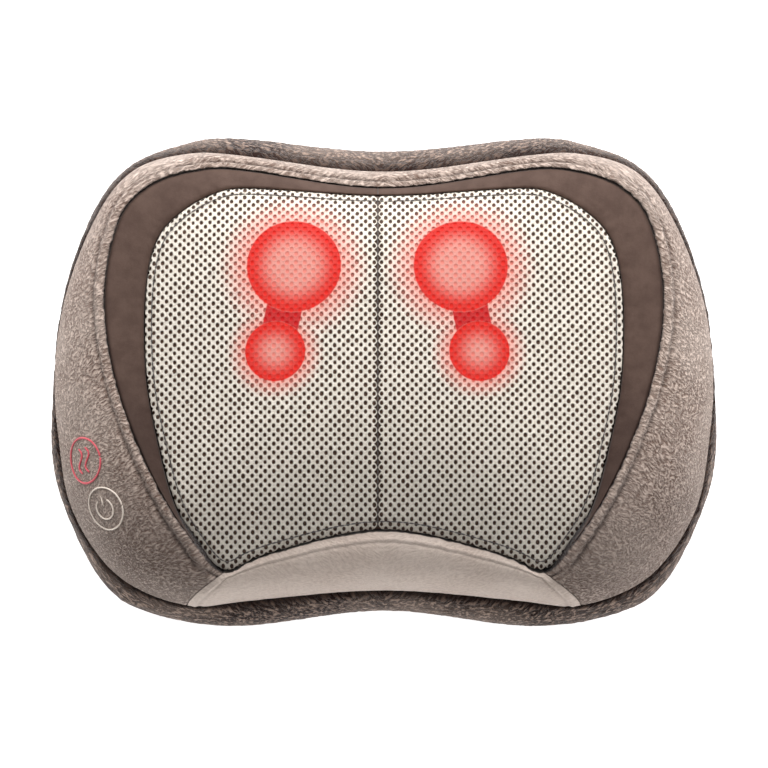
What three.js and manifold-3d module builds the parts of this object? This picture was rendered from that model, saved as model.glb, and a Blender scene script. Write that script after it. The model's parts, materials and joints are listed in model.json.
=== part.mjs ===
// Shiatsu neck massager: a contoured plush pillow with two worm-driven massage heads under a spacer-mesh panel.
// Millimetres. The pillow lies on its flat back: +Z comes out of the massage face, +Y points to its top edge,
// and the origin is the middle of the flat back.
import * as THREE from "three";
import { mergeVertices } from "three/addons/utils/BufferGeometryUtils.js";
import Module from "manifold-3d";

const wasm = await Module();
wasm.setup();

// ---------------------------------------------------------------- driving dimensions

const GAP = 0.3; // between pieces that touch
const FOAM_GAP = 1.2; // between a cover and its foam
const COVER = 3; // plush cover with its pile
const PANEL = 4; // spacer mesh
const FAR = 300; // past everything, for cutting tools
const FLOOR_INSET = 16; // the flat back is this much smaller than the widest line
const SPLIT_Z = 57; // the foam blocks meet the housing's deck here
const CROWN = { x: 0, y: 24, z: 134, power: 3 }; // top of the mesh dome

// Sewing lines as spline points [x, y, z], from top centre round the +X side to bottom centre.
// Every line has the same stations, so that equal stations face each other.
const LINES = {
  widest: [
    [0, 139, 46],
    [89, 148, 44],
    [123, 145, 42],
    [155, 130, 41],
    [177, 100, 40],
    [193, 51, 40],
    [198, 2, 38],
    [200, -41, 37],
    [192, -77, 36],
    [168, -123, 35],
    [137, -141, 34],
    [84, -148, 34],
    [0, -138, 35],
  ],
  side: [
    [0, 118, 88],
    [85, 129, 84],
    [118, 131, 80],
    [150, 121, 75],
    [172, 93, 70],
    [190, 46, 66],
    [196, -2, 63],
    [193, -42, 60],
    [185, -82, 57],
    [158, -120.5, 55],
    [117, -138, 55],
    [79, -135, 56],
    [0, -129, 59],
  ],
  inner: [
    [0, 104, 106],
    [83, 115, 109],
    [112, 114, 111],
    [138, 105, 112],
    [156, 84, 113],
    [164, 38, 113],
    [157, -11, 113],
    [142, -53, 113],
    [126, -84, 111],
    [111, -105, 103],
    [94, -122, 89],
    [69, -112, 95],
    [0, -98, 102],
  ],
  mesh: [
    [0, 99, 110],
    [76, 103, 113],
    [99, 100, 114],
    [120, 88, 114],
    [134, 71, 113],
    [140, 39, 112],
    [139, -10, 110],
    [131, -51, 108],
    [122, -83, 105],
    [110, -104, 97],
    [93, -119, 86],
    [68, -110, 93],
    [0, -96, 99],
  ],
};
const STATIONS = 24; // spline points on a whole line
const AROUND = 48; // points on a ring, a multiple of STATIONS
const YOKE_STATION = 10; // the bolster's ends are sewn to the yoke here
const BAND_STATION = 9; // the gusset band's ends

// A massage head's axis, its arm's lean from +Y in degrees, and the window in the foam round its sweep.
const HEAD = { x: 53, y: 32, lean: 12, window: 52.5 };
const LARGE = { radius: 28, reach: 21.5, z: 95, mouth: 10, sides: 16 }; // large massage node
const SMALL = { radius: 18, reach: 30, z: 99, mouth: 8, sides: 12 }; // small massage node
const NODE_WALL = 3;
const PIN_R = 3;
const ARM = { z: 58.5, thick: 6, width: 20, hub: 17, bore: 6 };

const GEAR = { module: 2.2, teeth: 40, face: 12, backlash: 0.6, hub: 14, bore: 5.3 };
const PRESSURE_SLOPE = Math.tan(THREE.MathUtils.degToRad(20)); // of the flanks of worm and wheel teeth
const WORM = { radius: 9, length: 27, turnsteps: 12 };
const DRIVE_Z = 35.5; // worm axis and middle of the worm wheels
const POST = { radius: 5, foot: 12, footThick: 3.2, top: 66 };
const WASHER = { radius: 11, thick: 0.9 };
const PEDESTAL_TOP = 79.5; // the small node's pin stands this high on its arm

const HOUSING = { x: 109, bottom: -72, top: 87, corner: 30, wall: 2.5, floor: 14.3, joint: 40, deck: 56.5 };
const SEAT_Z = HOUSING.floor + HOUSING.wall + GAP; // what stands in the housing stands here
const WASHER_Z = SEAT_Z + POST.footThick + GAP;
const BOSSES = [
  [-94, 72],
  [94, 72],
  [-94, -56],
  [94, -56],
];
const MOTOR = { radius: 16, back: -59, front: -4, shaft: 1.6, shaftEnd: 57 };
const BEARING = { y: 49, thick: 6, bore: 4.3, flange: 2 }; // the worm's outer bearing, past its end
const INLET = { x: 198, y: -30, z: 25, cup: 7.5, body: 10, depth: 8 };
const KEYS = {
  heat: new THREE.Vector3(-175.5, -56.5, 96.5),
  power: new THREE.Vector3(-163, -85, 96.5),
  out: new THREE.Vector3(-0.66, -0.3, 0.69), // out of the pillow's skin over the keys
  radius: 9,
  depth: 8, // skin to key
};

// ---------------------------------------------------------------- solids

const clean = (geometry) => {
  const bare = new THREE.BufferGeometry().setAttribute("position", geometry.getAttribute("position"));
  if (geometry.index) bare.setIndex(geometry.index);
  return mergeVertices(bare, 1e-4);
};

// A closed geometry as a manifold-3d solid, turned right side out.
function solid(geometry) {
  const merged = clean(geometry);
  const p = merged.getAttribute("position").array;
  const faces = [];
  const at = (i) => new THREE.Vector3(p[3 * i], p[3 * i + 1], p[3 * i + 2]);
  let volume = 0;
  for (let i = 0; i < merged.index.count; i += 3) {
    const [a, b, c] = [0, 1, 2].map((k) => merged.index.getX(i + k));
    if (a === b || b === c || a === c) continue;
    volume += at(a).dot(at(b).cross(at(c)));
    faces.push([a, b, c]);
  }
  const order = volume < 0 ? [0, 2, 1] : [0, 1, 2];
  const triVerts = Uint32Array.from(faces.flatMap((f) => order.map((k) => f[k])));
  return new wasm.Manifold(new wasm.Mesh({ numProp: 3, vertProperties: Float32Array.from(p), triVerts }));
}

function geometryOf(made) {
  const m = made.getMesh();
  const p = new Float32Array(m.numVert * 3);
  for (let i = 0; i < m.numVert; i++) p.set(m.vertProperties.subarray(i * m.numProp, i * m.numProp + 3), i * 3);
  return new THREE.BufferGeometry()
    .setAttribute("position", new THREE.BufferAttribute(p, 3))
    .setIndex(new THREE.BufferAttribute(m.triVerts, 1));
}

// Turns a profile of [radius, z] points round the Z axis.
function turned(profile, sides = 16) {
  const points = profile.map(([r, z]) => new THREE.Vector2(r, z));
  return solid(new THREE.LatheGeometry(points, sides).rotateX(Math.PI / 2));
}

// A straight round bar or tube from z0 to z1.
const bar = (radius, z0, z1, sides = 16) =>
  turned([[0, z0], [radius, z0], [radius, z1], [0, z1]], sides);
const tube = (inner, outer, z0, z1, sides = 16) =>
  turned([[inner, z0], [outer, z0], [outer, z1], [inner, z1], [inner, z0]], sides);

function box(x0, x1, y0, y1, z0, z1) {
  const geometry = new THREE.BoxGeometry(x1 - x0, y1 - y0, z1 - z0);
  return solid(geometry.translate((x0 + x1) / 2, (y0 + y1) / 2, (z0 + z1) / 2));
}

const plate = (shape, z0, z1, curveSegments = 3) =>
  solid(new THREE.ExtrudeGeometry(shape, { depth: z1 - z0, bevelEnabled: false, curveSegments }).translate(0, 0, z0));

const moved = (made, x, y, z = 0) => made.translate([x, y, z]);
const union = (...made) => made.reduce((a, b) => a.add(b));
const cut = (made, ...tools) => tools.reduce((a, b) => a.subtract(b), made);

// A solid made along Z, laid along Y instead.
const alongY = (made) => made.rotate([-90, 0, 0]);
const alongX = (made) => made.rotate([0, 90, 0]);

// ---------------------------------------------------------------- rings and lofts of the soft pieces

// A closed ring of points along a sewing line, from top centre round the -X side.
function ring(line) {
  const down = line.map(([x, y, z]) => new THREE.Vector3(-x, y, z));
  const up = line.slice(1, -1).reverse().map(([x, y, z]) => new THREE.Vector3(x, y, z));
  const curve = new THREE.CatmullRomCurve3([...down, ...up], true, "catmullrom", 0.5);
  return Array.from({ length: AROUND }, (_, i) => curve.getPoint(i / AROUND));
}

// The ring moved inwards in plan by d, and up by lift.
function inset(points, d, lift = 0) {
  const n = points.length;
  return points.map((p, i) => {
    const along = points[(i + 1) % n].clone().sub(points[(i + n - 1) % n]).setZ(0).normalize();
    return new THREE.Vector3(p.x - along.y * d, p.y + along.x * d, p.z + lift);
  });
}

const atHeight = (points, z) => points.map((p) => new THREE.Vector3(p.x, p.y, z));

// Part way from ring a to ring b: h of the way in plan and v of the way in height.
const between = (a, b, h, v) =>
  a.map((p, i) => new THREE.Vector3(
    THREE.MathUtils.lerp(p.x, b[i].x, h),
    THREE.MathUtils.lerp(p.y, b[i].y, h),
    THREE.MathUtils.lerp(p.z, b[i].z, v),
  ));

// Rings on a quarter ellipse that leaves ring a upright and comes to ring b level.
const shoulder = (a, b, steps) =>
  Array.from({ length: steps + 1 }, (_, k) => {
    const angle = ((k / steps) * Math.PI) / 2;
    return between(a, b, 1 - Math.cos(angle), Math.sin(angle));
  });

// A closed solid through a stack of rings, with its first and last ring closed by fans.
function stack(rings) {
  const n = AROUND;
  const middle = (points) => points.reduce((sum, p) => sum.add(p), new THREE.Vector3()).divideScalar(n);
  const points = [...rings.flat(), middle(rings[0]), middle(rings.at(-1))];
  const faces = [];
  const first = rings.length * n;
  for (let i = 0; i < n; i++) {
    const j = (i + 1) % n;
    for (let k = 0; k < rings.length - 1; k++) {
      const [a, b, c, d] = [k * n + i, k * n + j, (k + 1) * n + i, (k + 1) * n + j];
      faces.push(a, b, d, a, d, c);
    }
    const last = (rings.length - 1) * n;
    faces.push(first, j, i, first + 1, last + i, last + j);
  }
  return solid(new THREE.BufferGeometry().setFromPoints(points).setIndex(faces));
}

// A closed solid through sections, which are rings' points with the same index. The rings run round the section,
// and from and to are the first and last index, going through top centre when from is more than to.
function strip(rings, from, to) {
  const n = AROUND;
  const m = rings.length;
  const whole = from === to;
  const count = whole ? n : ((to - from + n) % n) + 1;
  const points = [];
  for (let s = 0; s < count; s++) points.push(...rings.map((r) => r[(from + s) % n]));
  const faces = [];
  for (let s = 0; s < (whole ? count : count - 1); s++) {
    const next = (s + 1) % count;
    for (let k = 0; k < m; k++) {
      const l = (k + 1) % m;
      const [a, b, c, d] = [s * m + k, s * m + l, next * m + k, next * m + l];
      faces.push(a, b, d, a, d, c);
    }
  }
  for (const s of whole ? [] : [0, count - 1]) {
    const section = points.slice(s * m, s * m + m);
    const out = section[0].clone().sub(section[Math.floor(m / 2)]).setZ(0).normalize();
    const flat = section.map((p) => new THREE.Vector2(p.dot(out), p.z));
    const clockwise = THREE.ShapeUtils.isClockWise(flat);
    for (const [a, b, c] of THREE.ShapeUtils.triangulateShape(flat, [])) {
      const alike = THREE.ShapeUtils.isClockWise([flat[a], flat[b], flat[c]]) === clockwise;
      const face = alike === s > 0 ? [a, b, c] : [a, c, b];
      faces.push(...face.map((k) => s * m + k));
    }
  }
  return solid(new THREE.BufferGeometry().setFromPoints(points).setIndex(faces));
}

const widest = ring(LINES.widest);
const side = ring(LINES.side);
const inner = ring(LINES.inner);
const meshEdge = ring(LINES.mesh);
const flatBack = atHeight(inset(widest, FLOOR_INSET), 0);
const stationIndex = (k) => (k * AROUND) / STATIONS;

// Rings of the mesh dome, from its edge to near the crown, lowered by drop.
const domeRings = (edge, drop, shares) =>
  shares.map((s) => edge.map((p) => new THREE.Vector3(
    THREE.MathUtils.lerp(CROWN.x, p.x, s),
    THREE.MathUtils.lerp(CROWN.y, p.y, s),
    p.z + (CROWN.z - p.z) * (1 - s ** CROWN.power) - drop,
  )));

// Rings of the rear half's skin, d inside its outer face: flat back, round edge, widest line, up to the side seam.
function bowlRings(d) {
  const back = inset(flatBack, 0.4 * d, d);
  const wide = inset(widest, d);
  const seam = inset(side, d, -GAP / 2);
  const under = [0.35, 0.7].map((share) => {
    const angle = (share * Math.PI) / 2;
    return between(back, wide, Math.sin(angle), 1 - Math.cos(angle));
  });
  return [back, ...under, ...shoulder(wide, seam, 3)];
}

// ---------------------------------------------------------------- soft pieces

const inletHole = (radius) => moved(alongX(bar(radius, -30, 20, 16)), INLET.x, INLET.y, INLET.z);

function rearCover() {
  const shell = stack([...bowlRings(0), ...bowlRings(COVER).reverse()]);
  return cut(shell, inletHole(INLET.body + GAP));
}

// The frame of the key pod: x along the pod, y across it, z out of the skin, at the middle of the two keys.
function podFrame() {
  const along = KEYS.power.clone().sub(KEYS.heat).normalize();
  const out = KEYS.out.clone().addScaledVector(along, -KEYS.out.dot(along)).normalize();
  const across = out.clone().cross(along);
  const middle = KEYS.heat.clone().add(KEYS.power).multiplyScalar(0.5);
  return new THREE.Matrix4().makeBasis(along, across, out).setPosition(middle);
}
const POD = { matrix: podFrame(), half: 29.5, width: 12.5, spacing: KEYS.heat.distanceTo(KEYS.power) / 2 };
const inPod = (made) => made.transform(POD.matrix.elements);

function bolsterFoam() {
  const d = COVER + FOAM_GAP;
  const outer = shoulder(inset(side, d, 3 * GAP), inset(inner, -GAP, -d), 4);
  const foot = atHeight(inset(inner, -GAP), SPLIT_Z + GAP);
  const foam = strip([...outer, foot], 0, 0);
  return cut(foam, inPod(box(-POD.half - 2, POD.half + 2, -POD.width - 2, POD.width + 2, -60, 10)));
}

// A plush cover over part of the bolster, between two ring indices.
function bolsterCover(from, to) {
  const outside = shoulder(inset(side, 0, GAP / 2), inner, 4);
  const inside = shoulder(inset(side, COVER, GAP / 2), inset(inner, 0, -COVER), 4);
  return strip([...outside, ...inside.reverse()], from, to);
}

function gussetBand() {
  const edge = inset(inner, GAP, -1.5);
  const far = inset(meshEdge, -GAP, -1);
  const top = [edge, inset(between(edge, far, 0.5, 0.5), 0, -1.5), far];
  const bottom = top.map((points) => inset(points, 0, -2));
  const end = stationIndex(BAND_STATION) - 1;
  return strip([...top, ...bottom.reverse()], AROUND - end, end);
}

function meshPanel(half) {
  const shares = [0.3, 0.6, 0.82, 1];
  const edge = inset(meshEdge, GAP);
  const shell = stack([...domeRings(edge, 0, shares), ...domeRings(edge, PANEL, shares).reverse()]);
  const [x0, x1] = half < 0 ? [-FAR, -GAP / 2] : [GAP / 2, FAR];
  return shell.intersect(box(x0, x1, -FAR, FAR, 0, FAR));
}

// The two head windows, which run into each other through a passage in the middle.
function headWindows() {
  const passage = 22; // half its width
  return union(
    moved(bar(HEAD.window, 0, FAR, 24), -HEAD.x, HEAD.y),
    moved(bar(HEAD.window, 0, FAR, 24), HEAD.x, HEAD.y),
    box(-HEAD.x, HEAD.x, HEAD.y - passage, HEAD.y + passage, 0, FAR),
  );
}

function topperFoam() {
  const wall = inset(inner, 3 * GAP);
  const top = domeRings(inset(meshEdge, 2 * GAP), PANEL + 2 * GAP, [1, 0.82, 0.6, 0.3]);
  const block = stack([atHeight(wall, SPLIT_Z + GAP), inset(wall, 0, -11), inset(top[0], 0, -5), ...top.slice(1)]);
  return cut(block, headWindows());
}

// ---------------------------------------------------------------- housing

function housingShape(grow) {
  const { x, bottom, top, corner } = HOUSING;
  const [a, b, c, r] = [x + grow, bottom - grow, top + grow, corner + grow];
  const shape = new THREE.Shape();
  shape.absarc(a - r, b + r, r, -Math.PI / 2, 0);
  shape.absarc(a - r, c - r, r, 0, Math.PI / 2);
  shape.absarc(-a + r, c - r, r, Math.PI / 2, Math.PI);
  shape.absarc(-a + r, b + r, r, Math.PI, 1.5 * Math.PI);
  return shape;
}

function rearFoam() {
  const rings = bowlRings(COVER + FOAM_GAP);
  rings[rings.length - 1] = inset(rings.at(-1), 0, -2 * FOAM_GAP);
  const block = stack([...rings, atHeight(inset(inner, -GAP), SPLIT_Z - 2 * FOAM_GAP)]);
  const pocket = plate(housingShape(1), HOUSING.floor - GAP, 120);
  return cut(block, pocket, moved(alongX(bar(INLET.body + 1, -90, 20, 20)), INLET.x, INLET.y, INLET.z));
}

const leadHole = () => moved(alongX(bar(4, -10, 10, 12)), HOUSING.x, INLET.y, INLET.z);

function rearHousing() {
  const { floor, joint, wall } = HOUSING;
  const tray = plate(housingShape(0), floor, joint - GAP / 2);
  const room = plate(housingShape(-wall), floor + wall, joint + 5);
  const seats = BOSSES.map(([x, y]) => moved(bar(6, floor, floor + wall + 1.5, 16), x, y));
  const holes = BOSSES.map(([x, y]) => moved(union(bar(1.9, 0, 30, 12), bar(3.8, 0, floor + 2.1, 12)), x, y));
  return cut(union(cut(tray, room, leadHole()), ...seats), ...holes);
}

function frontHousing() {
  const { joint, deck, wall } = HOUSING;
  const lid = plate(housingShape(0), joint + GAP / 2, deck);
  const room = plate(housingShape(-wall), joint - 5, deck - wall);
  const hub = GEAR.hub + 2.5;
  const shell = cut(lid, room, ...[-1, 1].map((s) => moved(bar(hub, 0, 100), s * HEAD.x, HEAD.y)));
  const bosses = BOSSES.map(([x, y]) => moved(tube(1.9, 4.5, 22, deck - wall + 0.5, 16), x, y));
  return union(shell, ...bosses);
}

// A housing screw's profile: its head lies in the rear half's counterbore, and its shank goes up into a boss.
function housingScrew([x, y]) {
  const head = HOUSING.floor + 0.4;
  return moved(turned([[0, head], [3.4, head], [3.4, head + 1.4], [1.5, head + 1.4], [1.5, 38], [0, 38]], 8), x, y);
}

// ---------------------------------------------------------------- drive

// A worm wheel with slanted teeth, turned by the share phase of a tooth.
function wormWheel(phase) {
  const { module, teeth, face, backlash, hub, bore } = GEAR;
  const pitch = (module * teeth) / 2;
  const [tip, root] = [pitch + module, pitch - 1.25 * module];
  const half = (Math.PI * module) / 4 - backlash / 2; // half a tooth's width on the pitch line
  const slope = PRESSURE_SLOPE;
  const [rootHalf, tipHalf] = [half + (pitch - root) * slope, half - module * slope];
  const tooth = [[root, -rootHalf], [tip, -tipHalf], [tip, tipHalf], [root, rootHalf]];
  const twist = Math.atan((face * module) / (2 * WORM.radius) / pitch);
  const outlineAt = (turn) => {
    const shape = [];
    for (let k = 0; k < teeth; k++) {
      const middle = ((k + phase) * 2 * Math.PI) / teeth + turn;
      for (const [r, w] of tooth)
        shape.push(new THREE.Vector2(r * Math.cos(middle + w / r), r * Math.sin(middle + w / r)));
    }
    return shape;
  };
  const low = outlineAt(-twist / 2);
  const high = outlineAt(twist / 2);
  const n = low.length;
  const z = [DRIVE_Z - face / 2, DRIVE_Z + face / 2];
  const points = [low, high].flatMap((shape, k) => shape.map((p) => new THREE.Vector3(p.x, p.y, z[k])));
  points.push(new THREE.Vector3(0, 0, z[0]), new THREE.Vector3(0, 0, z[1]));
  const faces = [];
  for (let i = 0; i < n; i++) {
    const j = (i + 1) % n;
    faces.push(i, j, n + j, i, n + j, n + i, 2 * n, j, i, 2 * n + 1, n + i, n + j);
  }
  const disc = solid(new THREE.BufferGeometry().setFromPoints(points).setIndex(faces));
  const body = union(disc, bar(hub, WASHER_Z + WASHER.thick + GAP, ARM.z - GAP));
  const screws = screwPlaces().map(([x, y]) => moved(bar(1.7, 50, 70, 10), x, y));
  return cut(body, bar(bore, 0, 100), ...screws);
}

// The worm's thread and core, along +Z, with a thread middle on the +X side at z = 0.
function worm() {
  const { module } = GEAR;
  const { radius, length, turnsteps } = WORM;
  const lead = Math.PI * module;
  const [tip, root] = [radius + module, radius - 1.25 * module];
  const half = lead / 4 - GEAR.backlash / 2;
  const slope = PRESSURE_SLOPE;
  const section = [
    [root - 0.4, half + (radius - root + 0.4) * slope],
    [tip, half - module * slope],
    [tip, -half + module * slope],
    [root - 0.4, -half - (radius - root + 0.4) * slope],
  ];
  const turns = Math.round((length - lead) / lead);
  const steps = turns * turnsteps;
  const points = [];
  for (let s = 0; s <= steps; s++) {
    const angle = (s / turnsteps - turns / 2) * 2 * Math.PI;
    for (const [r, dz] of section)
      points.push(new THREE.Vector3(r * Math.cos(angle), r * Math.sin(angle), (angle / (2 * Math.PI)) * lead + dz));
  }
  const faces = [];
  for (let s = 0; s < steps; s++)
    for (let k = 0; k < 4; k++) {
      const [a, b, c, d] = [s * 4 + k, s * 4 + ((k + 1) % 4), s * 4 + 4 + k, s * 4 + 4 + ((k + 1) % 4)];
      faces.push(a, b, d, a, d, c);
    }
  const e = steps * 4;
  faces.push(0, 2, 1, 0, 3, 2, e, e + 1, e + 2, e, e + 2, e + 3);
  const thread = solid(new THREE.BufferGeometry().setFromPoints(points).setIndex(faces));
  const core = bar(root, -length / 2 - 1, length / 2 + 1, turnsteps);
  return cut(union(core, thread), bar(MOTOR.shaft + GAP, -40, 40, 12));
}

const thrustWasher = () => tube(POST.radius + GAP, WASHER.radius, WASHER_Z, WASHER_Z + WASHER.thick);

function headPost() {
  const { radius, foot, footThick, top } = POST;
  const step = SEAT_Z + footThick;
  return turned([[0, SEAT_Z], [foot, SEAT_Z], [foot, step], [radius, step], [radius, top], [0, top]], 14);
}

function motorCan() {
  const { radius, back, front } = MOTOR;
  const can = turned([
    [radius - 1.5, back], [radius, back], [radius, front], [6, front], [6, front + 2.5],
    [3, front + 2.5], [3, front - 2], [radius - 1.5, front - 2], [radius - 1.5, back],
  ], 20);
  return alongY(can);
}

function motorEndCap() {
  const { radius, back } = MOTOR;
  const [inside, outside] = [back - GAP, back - 3.3];
  const boss = back - 5;
  const profile = [[3, inside], [radius, inside], [radius, outside], [6, outside], [6, boss], [3, boss], [3, inside]];
  return alongY(turned(profile, 20));
}

function armature() {
  const { shaft, back } = MOTOR;
  const bore = shaft + GAP;
  const core = tube(bore, 11, back + 12, back + 42);
  const slots = Array.from({ length: 5 }, (_, k) => {
    const angle = (k * 2 * Math.PI) / 5;
    return moved(bar(1.8, back, back + 60, 6), 9.5 * Math.cos(angle), 9.5 * Math.sin(angle));
  });
  return alongY(union(cut(core, ...slots), tube(bore, 4.5, back + 4, back + 12.5, 12)));
}

const motorShaft = () => alongY(bar(MOTOR.shaft, MOTOR.back - 4, MOTOR.shaftEnd, 12));

function motorBracket() {
  const y0 = MOTOR.front + GAP;
  const leg = box(-15, 15, y0, y0 + 2.5, SEAT_Z - DRIVE_Z, 14);
  const foot = box(-15, 15, y0, y0 + 8, SEAT_Z - DRIVE_Z, SEAT_Z + 2.5 - DRIVE_Z);
  return cut(union(leg, foot), alongY(bar(6 + GAP, y0 - 5, y0 + 20)));
}

function motorSaddle() {
  const { radius, back } = MOTOR;
  const block = box(-13, 13, back + 8, back + 20, SEAT_Z - DRIVE_Z, -8);
  return cut(block, alongY(bar(radius + GAP, back, back + 40, 32)));
}

function bearingBlock() {
  const block = box(-7.5, 7.5, BEARING.y, BEARING.y + BEARING.thick, SEAT_Z - DRIVE_Z, 6);
  return cut(block, alongY(bar(BEARING.bore, BEARING.y - 7, BEARING.y + 13)));
}

function wormBush() {
  const bore = MOTOR.shaft + GAP;
  const { y, thick, flange } = BEARING;
  const start = [bore, y - flange];
  const rest = [[5.5, y - flange], [5.5, y - GAP], [4, y - GAP], [4, y + thick], [bore, y + thick]];
  return alongY(turned([start, ...rest, start], 12));
}

// ---------------------------------------------------------------- massage heads

// Places on an arm, from its head's axis: the large node lies along the arm's lean, the small one opposite.
function armPlace(sign, reach) {
  const lean = (HEAD.lean * Math.PI) / 180;
  return [sign * -1 * reach * Math.sin(lean), reach * Math.cos(lean)];
}
const screwPlaces = () => [
  [10, 0],
  [-10, 0],
];

function nodeArm(sign) {
  const [lx, ly] = armPlace(sign, LARGE.reach);
  const [sx, sy] = armPlace(sign, -SMALL.reach);
  const [z0, z1] = [ARM.z, ARM.z + ARM.thick];
  const half = ARM.width / 2;
  const link = (x, y) => {
    const length = Math.hypot(x, y);
    const turn = (Math.atan2(y, x) * 180) / Math.PI;
    return union(box(0, length, -half, half, z0, z1), moved(bar(half, z0, z1), length, 0)).rotate([0, 0, turn]);
  };
  const pedestal = moved(turned([[0, z1 - 1], [8, z1 - 1], [8, z1], [5, PEDESTAL_TOP], [0, PEDESTAL_TOP]]), sx, sy);
  const body = union(link(lx, ly), link(sx, sy), bar(ARM.hub, z0, z1), pedestal);
  const holes = [[lx, ly], [sx, sy]].map(([x, y]) => moved(bar(PIN_R + GAP, 0, 100, 12), x, y));
  const screws = screwPlaces().map(([x, y]) => moved(bar(1.7, 0, 100, 10), x, y));
  return cut(body, bar(ARM.bore, 0, 100), ...holes, ...screws);
}

// An arm screw's profile: its head lies on the arm, and its shank goes into the wheel's hub.
const armScrew = ([x, y]) => {
  const on = ARM.z + ARM.thick + GAP / 2;
  return moved(turned([[0, 51], [1.4, 51], [1.4, on], [2.7, on], [2.7, on + 1.8], [0, on + 1.8]], 8), x, y);
};

function nodePin(kind) {
  const top = kind.z + 3.5;
  const foot = kind === LARGE ? ARM.z + 0.2 : ARM.z + 6;
  const rest = kind === LARGE ? ARM.z + ARM.thick + GAP / 2 : PEDESTAL_TOP + GAP / 2;
  const collar = [[4.6, rest], [4.6, rest + 1.2]];
  return turned([[0, foot], [PIN_R, foot], [PIN_R, rest], ...collar, [PIN_R, rest + 1.2], [PIN_R, top], [0, top]], 10);
}

// A node's soft shell: a hollow ball with a round mouth at the bottom.
function nodeShell({ radius, z, mouth, sides }) {
  const steps = 6;
  const arc = (r) => {
    const last = -Math.acos(mouth / r);
    return Array.from({ length: steps + 1 }, (_, k) => {
      const angle = THREE.MathUtils.lerp(Math.PI / 2, last, k / steps);
      return [k ? r * Math.cos(angle) : 0, z + r * Math.sin(angle)];
    });
  };
  return turned([...arc(radius), ...arc(radius - NODE_WALL).reverse()], sides);
}

// The hard spool inside a node, which turns on the pin.
function nodeSpool({ radius, z, mouth }) {
  const room = radius - NODE_WALL;
  const bore = PIN_R + GAP;
  const neck = mouth - 0.6;
  const low = z - Math.sqrt(room ** 2 - mouth ** 2) + 1.5;
  const foot = low - 1.5;
  return turned([
    [0, z + 4.2], [bore, z + 4.2], [bore, foot], [5.6, foot], [5.6, low], [neck, low], [neck, low + 2],
    [5.6, low + 2], [5.6, z - 1], [room - 2, z - 1], [room - 2, z + 1], [5.6, z + 1], [5.6, z + 6.5], [0, z + 6.5],
  ], 10);
}

const lampBoard = () => bar(6, POST.top + GAP, POST.top + 1.5, 20);

function lampLens() {
  const base = POST.top + 1.8;
  const dome = Array.from({ length: 5 }, (_, k) => {
    const angle = (k * Math.PI) / 8;
    return [k === 4 ? 0 : 5.6 * Math.cos(angle), base + 1 + 3.6 * Math.sin(angle)];
  });
  return turned([[0, base], [5.6, base], ...dome], 20);
}

// ---------------------------------------------------------------- keys and electrics

function keyPod() {
  const { half, width, spacing } = POD;
  const top = -KEYS.depth;
  const room = box(2 - half, half - 2, 2 - width, width - 2, top - 20, top - 3.5);
  const shell = cut(box(-half, half, -width, width, top - 11, top - 1.5), room);
  const holes = [-spacing, spacing].map((x) => moved(bar(KEYS.radius + 0.5, -30, 0), x, 0));
  return inPod(cut(shell, ...holes));
}

function key(place) {
  const top = -KEYS.depth + 1.2;
  const plunger = [[0, top - 7], [2.5, top - 7], [2.5, top - 5.5]];
  const rim = [[10.4, top - 5.5], [10.4, top - 5], [KEYS.radius, top - 5]];
  const crown = [[KEYS.radius, top - 0.8], [KEYS.radius - 1, top], [0, top]];
  return inPod(moved(turned([...plunger, ...rim, ...crown], 14), place * POD.spacing, 0));
}

function keyBoard() {
  const { half, width, spacing } = POD;
  const z = -KEYS.depth - 10.7;
  const board = box(2.4 - half, half - 2.4, 2.4 - width, width - 2.4, z, z + 1.6);
  const switches = [-spacing, spacing].map((x) => box(x - 3, x + 3, -3, 3, z + 1, z + 3.2));
  return inPod(union(board, ...switches));
}

function controlBoard() {
  const board = box(30, 88, -56, -14, 22, 23.6);
  const feet = [[34, -52], [84, -52], [34, -18], [84, -18]].map(([x, y]) => moved(bar(2.5, SEAT_Z, 22.5, 12), x, y));
  const parts = [
    box(38, 50, -48, -38, 23, 27),
    box(54, 64, -32, -20, 23, 33),
    moved(bar(5, 23, 38), 74, -42),
    moved(bar(5, 23, 38), 62, -46),
    box(79, 87, -38, -22, 23, 31),
  ];
  return union(board, ...feet, ...parts);
}

function dcInlet() {
  const { x, y, z, cup, body, depth } = INLET;
  const profile = [
    [0, -22], [5.5, -22], [5.5, -depth - 2], [body, -depth - 2], [body, 0], [cup, 0], [cup, -depth],
    [3.2, -depth], [3.2, -depth - 9], [1, -depth - 9], [1, -depth - 1], [0, -depth - 1],
  ];
  return moved(alongX(turned(profile, 14)), x, y, z);
}

// The lead from the inlet to the board, through the foam's channel and the housing's wall.
function inletLead() {
  const route = new THREE.CatmullRomCurve3([
    [INLET.x - 22.4, INLET.y, INLET.z],
    [INLET.x - 45, INLET.y, INLET.z],
    [HOUSING.x + 4, INLET.y, INLET.z],
    [HOUSING.x - 8, INLET.y, INLET.z + 0.5],
    [87.6, INLET.y, 27],
  ].map((p) => new THREE.Vector3(...p)));
  const section = new THREE.Shape(new THREE.EllipseCurve(0, 0, 2, 2, 0, 2 * Math.PI).getPoints(8).slice(0, 8));
  return solid(new THREE.ExtrudeGeometry(section, { extrudePath: route, steps: 14, bevelEnabled: false }));
}

// ---------------------------------------------------------------- materials and assembly

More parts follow.
